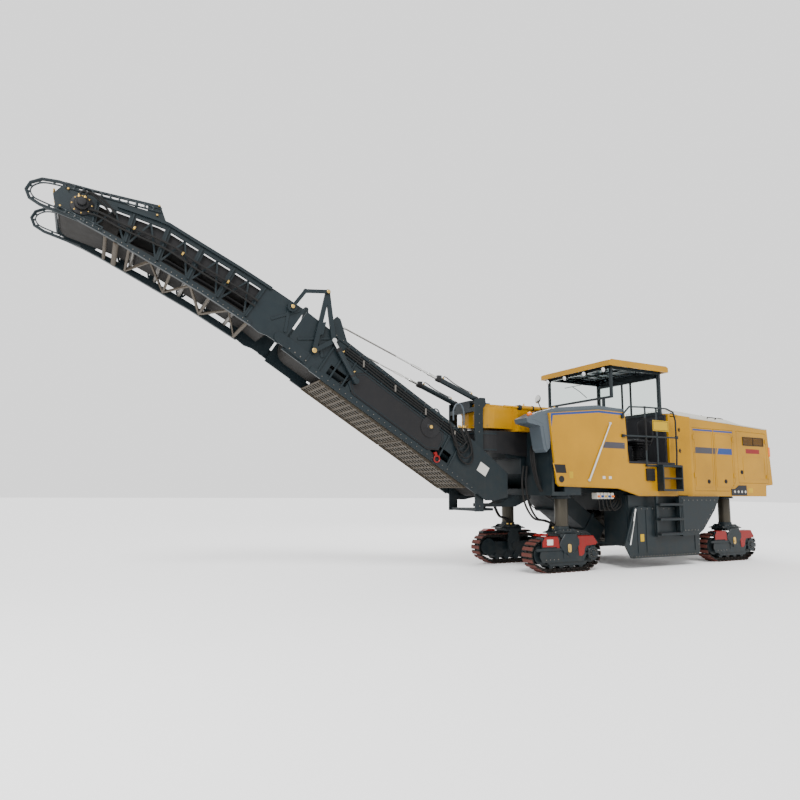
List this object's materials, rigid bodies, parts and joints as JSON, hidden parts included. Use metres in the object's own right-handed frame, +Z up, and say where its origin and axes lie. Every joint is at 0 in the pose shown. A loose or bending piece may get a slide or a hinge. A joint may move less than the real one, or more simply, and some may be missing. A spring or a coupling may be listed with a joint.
{
  "type": "cold planer milling machine",
  "caption": "Tracked road milling machine with a milling drum between the tracks and a long folding discharge conveyor at the front.",
  "frame": {"origin": "ground level, at the middle of the machine's overall length and width with the conveyor straight ahead", "axes": "+X forwards to the discharge conveyor's end, +Y to the machine's left, +Z up"},
  "size_m": [14.9368, 2.76, 5.7108],
  "materials": {
    "belt": "matt",
    "black": "matt",
    "charcoal": "matt",
    "glass": "clear",
    "grey": "satin paint",
    "seat": "soft",
    "shoe": "worn",
    "silver": "satin paint",
    "slate": "satin paint",
    "steel": "bright",
    "yellow": "gloss paint"
  },
  "bodies": {
    "chassis": {"main_frame": "slate", "slew_frame": "yellow", "hopper_shell": "black", "primary_conveyor": "slate", "drum_housing": "slate", "side_panel_left": "yellow", "side_panel_right": "yellow", "access_left": "slate", "access_right": "slate", "front_hood": "grey", "engine_house": "yellow", "engine_block": "steel", "platform": "charcoal", "console": "charcoal", "seats": "seat", "canopy_roof": "yellow", "canopy_frame": "slate", "windscreen": "glass", "rear_window": "glass"},
    "milling_drum": {"milling_drum": "steel"},
    "side_plate_left": {"side_plate_left": "slate"},
    "side_plate_right": {"side_plate_right": "slate"},
    "track_unit_front_left": {"undercarriage_front_left": "slate", "track_front_left": "shoe"},
    "track_unit_front_right": {"undercarriage_front_right": "slate", "track_front_right": "shoe"},
    "track_unit_rear_left": {"undercarriage_rear_left": "slate", "track_rear_left": "shoe"},
    "track_unit_rear_right": {"undercarriage_rear_right": "slate", "track_rear_right": "shoe"},
    "conveyor_mast": {"slew_mast": "slate"},
    "conveyor_inner": {"inner_conveyor": "slate", "inner_belt": "belt"},
    "conveyor_outer": {"outer_conveyor": "slate", "outer_belt": "belt"},
    "fold_lever_left": {"fold_lever_left": "slate"},
    "fold_link_left": {"fold_link_left": "slate"},
    "fold_barrel_left": {"fold_barrel_left": "slate"},
    "fold_rod_left": {"fold_rod_left": "steel"},
    "lift_barrel_left": {"lift_barrel_left": "slate"},
    "lift_stay_left": {"lift_stay_left": "steel"},
    "fold_lever_right": {"fold_lever_right": "slate"},
    "fold_link_right": {"fold_link_right": "slate"},
    "fold_barrel_right": {"fold_barrel_right": "slate"},
    "fold_rod_right": {"fold_rod_right": "steel"},
    "lift_barrel_right": {"lift_barrel_right": "slate"},
    "lift_stay_right": {"lift_stay_right": "steel"},
    "door_front_left": {"door_front_left": "yellow"},
    "door_rear_left": {"door_rear_left": "yellow"},
    "door_intake_left": {"door_intake_left": "yellow"},
    "door_cooler_right": {"door_cooler_right": "yellow"},
    "engine_hood": {"engine_hood": "silver"}
  },
  "joints": [
    {"name": "drum_spin", "type": "hinge", "parent": "chassis", "child": "milling_drum", "pos_m": [-3.8784, 0, 0.8], "axis": [0, 1, 0], "continuous": true},
    {"name": "side_plate_lift_left", "type": "slide", "parent": "chassis", "child": "side_plate_left", "axis": [0, 0, 1], "range_m": [0, 0.2]},
    {"name": "side_plate_lift_right", "type": "slide", "parent": "chassis", "child": "side_plate_right", "axis": [0, 0, 1], "range_m": [0, 0.2]},
    {"name": "steer_front_left", "type": "hinge", "parent": "chassis", "child": "track_unit_front_left", "pos_m": [-1.5284, 0.84, 0.655], "axis": [0, 0, 1], "range_deg": [-22, 22]},
    {"name": "steer_front_right", "type": "hinge", "parent": "chassis", "child": "track_unit_front_right", "pos_m": [-1.5284, -0.84, 0.655], "axis": [0, 0, 1], "range_deg": [-22, 22]},
    {"name": "steer_rear_left", "type": "hinge", "parent": "chassis", "child": "track_unit_rear_left", "pos_m": [-6.2284, 0.84, 0.655], "axis": [0, 0, 1], "range_deg": [-22, 22]},
    {"name": "steer_rear_right", "type": "hinge", "parent": "chassis", "child": "track_unit_rear_right", "pos_m": [-6.2284, -0.84, 0.655], "axis": [0, 0, 1], "range_deg": [-22, 22]},
    {"name": "conveyor_slew", "type": "hinge", "parent": "chassis", "child": "conveyor_mast", "pos_m": [-0.3284, 0, 1.2], "axis": [0, 0, 1], "range_deg": [-50, 50]},
    {"name": "conveyor_lift", "type": "hinge", "parent": "conveyor_mast", "child": "conveyor_inner", "pos_m": [0.0616, 0, 1.72], "axis": [0, -1, 0], "range_deg": [-18, 0]},
    {"name": "conveyor_fold", "type": "hinge", "parent": "conveyor_inner", "child": "conveyor_outer", "pos_m": [3.8916, 0, 3.86], "axis": [0, 1, 0], "range_deg": [0, 90]},
    {"name": "fold_lever_turn_left", "type": "hinge", "parent": "conveyor_inner", "child": "fold_lever_left", "pos_m": [3.3216, 0, 3.7], "axis": [0, 1, 0], "range_deg": [0, 47.45]},
    {"name": "fold_link_turn_left", "type": "hinge", "parent": "fold_lever_left", "child": "fold_link_left", "pos_m": [3.1216, 0, 4.71], "axis": [0, 1, 0], "range_deg": [-31.27, 0]},
    {"name": "fold_barrel_turn_left", "type": "hinge", "parent": "conveyor_inner", "child": "fold_barrel_left", "pos_m": [2.5916, 0, 3.26], "axis": [0, 1, 0], "range_deg": [0, 6.67]},
    {"name": "fold_rod_slide_left", "type": "slide", "parent": "fold_barrel_left", "child": "fold_rod_left", "axis": [0.53, 0, 0.848], "range_m": [0, 0.2937]},
    {"name": "lift_barrel_turn_left", "type": "hinge", "parent": "conveyor_mast", "child": "lift_barrel_left", "pos_m": [-0.0284, 0, 3.14], "axis": [0, -1, 0], "range_deg": [-19.08, 0]},
    {"name": "lift_stay_slide_left", "type": "slide", "parent": "lift_barrel_left", "child": "lift_stay_left", "axis": [0.9338, 0, 0.3577], "range_m": [0, 0.442]},
    {"name": "fold_lever_turn_right", "type": "hinge", "parent": "conveyor_inner", "child": "fold_lever_right", "pos_m": [3.3216, 0, 3.7], "axis": [0, 1, 0], "range_deg": [0, 47.45]},
    {"name": "fold_link_turn_right", "type": "hinge", "parent": "fold_lever_right", "child": "fold_link_right", "pos_m": [3.1216, 0, 4.71], "axis": [0, 1, 0], "range_deg": [-31.27, 0]},
    {"name": "fold_barrel_turn_right", "type": "hinge", "parent": "conveyor_inner", "child": "fold_barrel_right", "pos_m": [2.5916, 0, 3.26], "axis": [0, 1, 0], "range_deg": [0, 6.67]},
    {"name": "fold_rod_slide_right", "type": "slide", "parent": "fold_barrel_right", "child": "fold_rod_right", "axis": [0.53, 0, 0.848], "range_m": [0, 0.2937]},
    {"name": "lift_barrel_turn_right", "type": "hinge", "parent": "conveyor_mast", "child": "lift_barrel_right", "pos_m": [-0.0284, 0, 3.14], "axis": [0, -1, 0], "range_deg": [-19.08, 0]},
    {"name": "lift_stay_slide_right", "type": "slide", "parent": "lift_barrel_right", "child": "lift_stay_right", "axis": [0.9338, 0, 0.3577], "range_m": [0, 0.442]},
    {"name": "door_front_left_swing", "type": "hinge", "parent": "chassis", "child": "door_front_left", "pos_m": [-4.8284, 1.2285, 2.2], "axis": [0, 0, -1], "range_deg": [0, 110]},
    {"name": "door_rear_left_swing", "type": "hinge", "parent": "chassis", "child": "door_rear_left", "pos_m": [-6.1484, 1.2285, 2.2], "axis": [0, 0, 1], "range_deg": [0, 110]},
    {"name": "door_intake_left_swing", "type": "hinge", "parent": "chassis", "child": "door_intake_left", "pos_m": [-7.3084, 1.2285, 2.2], "axis": [0, 0, 1], "range_deg": [0, 110]},
    {"name": "door_cooler_right_swing", "type": "hinge", "parent": "chassis", "child": "door_cooler_right", "pos_m": [-7.3084, -1.2285, 2.2], "axis": [0, 0, -1], "range_deg": [0, 100]},
    {"name": "engine_hood_lift", "type": "hinge", "parent": "chassis", "child": "engine_hood", "pos_m": [-6.9884, 0, 2.96], "axis": [0, -1, 0], "range_deg": [0, 40]}
  ],
  "couplings": [
    {"joint": "steer_front_right", "follows": "steer_front_left", "ratio": 1},
    {"joint": "steer_rear_right", "follows": "steer_rear_left", "ratio": 1},
    {"joint": "fold_lever_turn_left", "follows": "conveyor_fold", "ratio": 0.52665},
    {"joint": "fold_link_turn_left", "follows": "conveyor_fold", "ratio": -0.34694},
    {"joint": "fold_barrel_turn_left", "follows": "conveyor_fold", "ratio": 0.073563},
    {"joint": "fold_rod_slide_left", "follows": "conveyor_fold", "m_per_rad": 0.18634},
    {"joint": "lift_barrel_turn_left", "follows": "conveyor_lift", "ratio": 1.057},
    {"joint": "lift_stay_slide_left", "follows": "conveyor_lift", "m_per_rad": -1.4039},
    {"joint": "fold_lever_turn_right", "follows": "conveyor_fold", "ratio": 0.52665},
    {"joint": "fold_link_turn_right", "follows": "conveyor_fold", "ratio": -0.34694},
    {"joint": "fold_barrel_turn_right", "follows": "conveyor_fold", "ratio": 0.073563},
    {"joint": "fold_rod_slide_right", "follows": "conveyor_fold", "m_per_rad": 0.18634},
    {"joint": "lift_barrel_turn_right", "follows": "conveyor_lift", "ratio": 1.057},
    {"joint": "lift_stay_slide_right", "follows": "conveyor_lift", "m_per_rad": -1.4039}
  ]
}
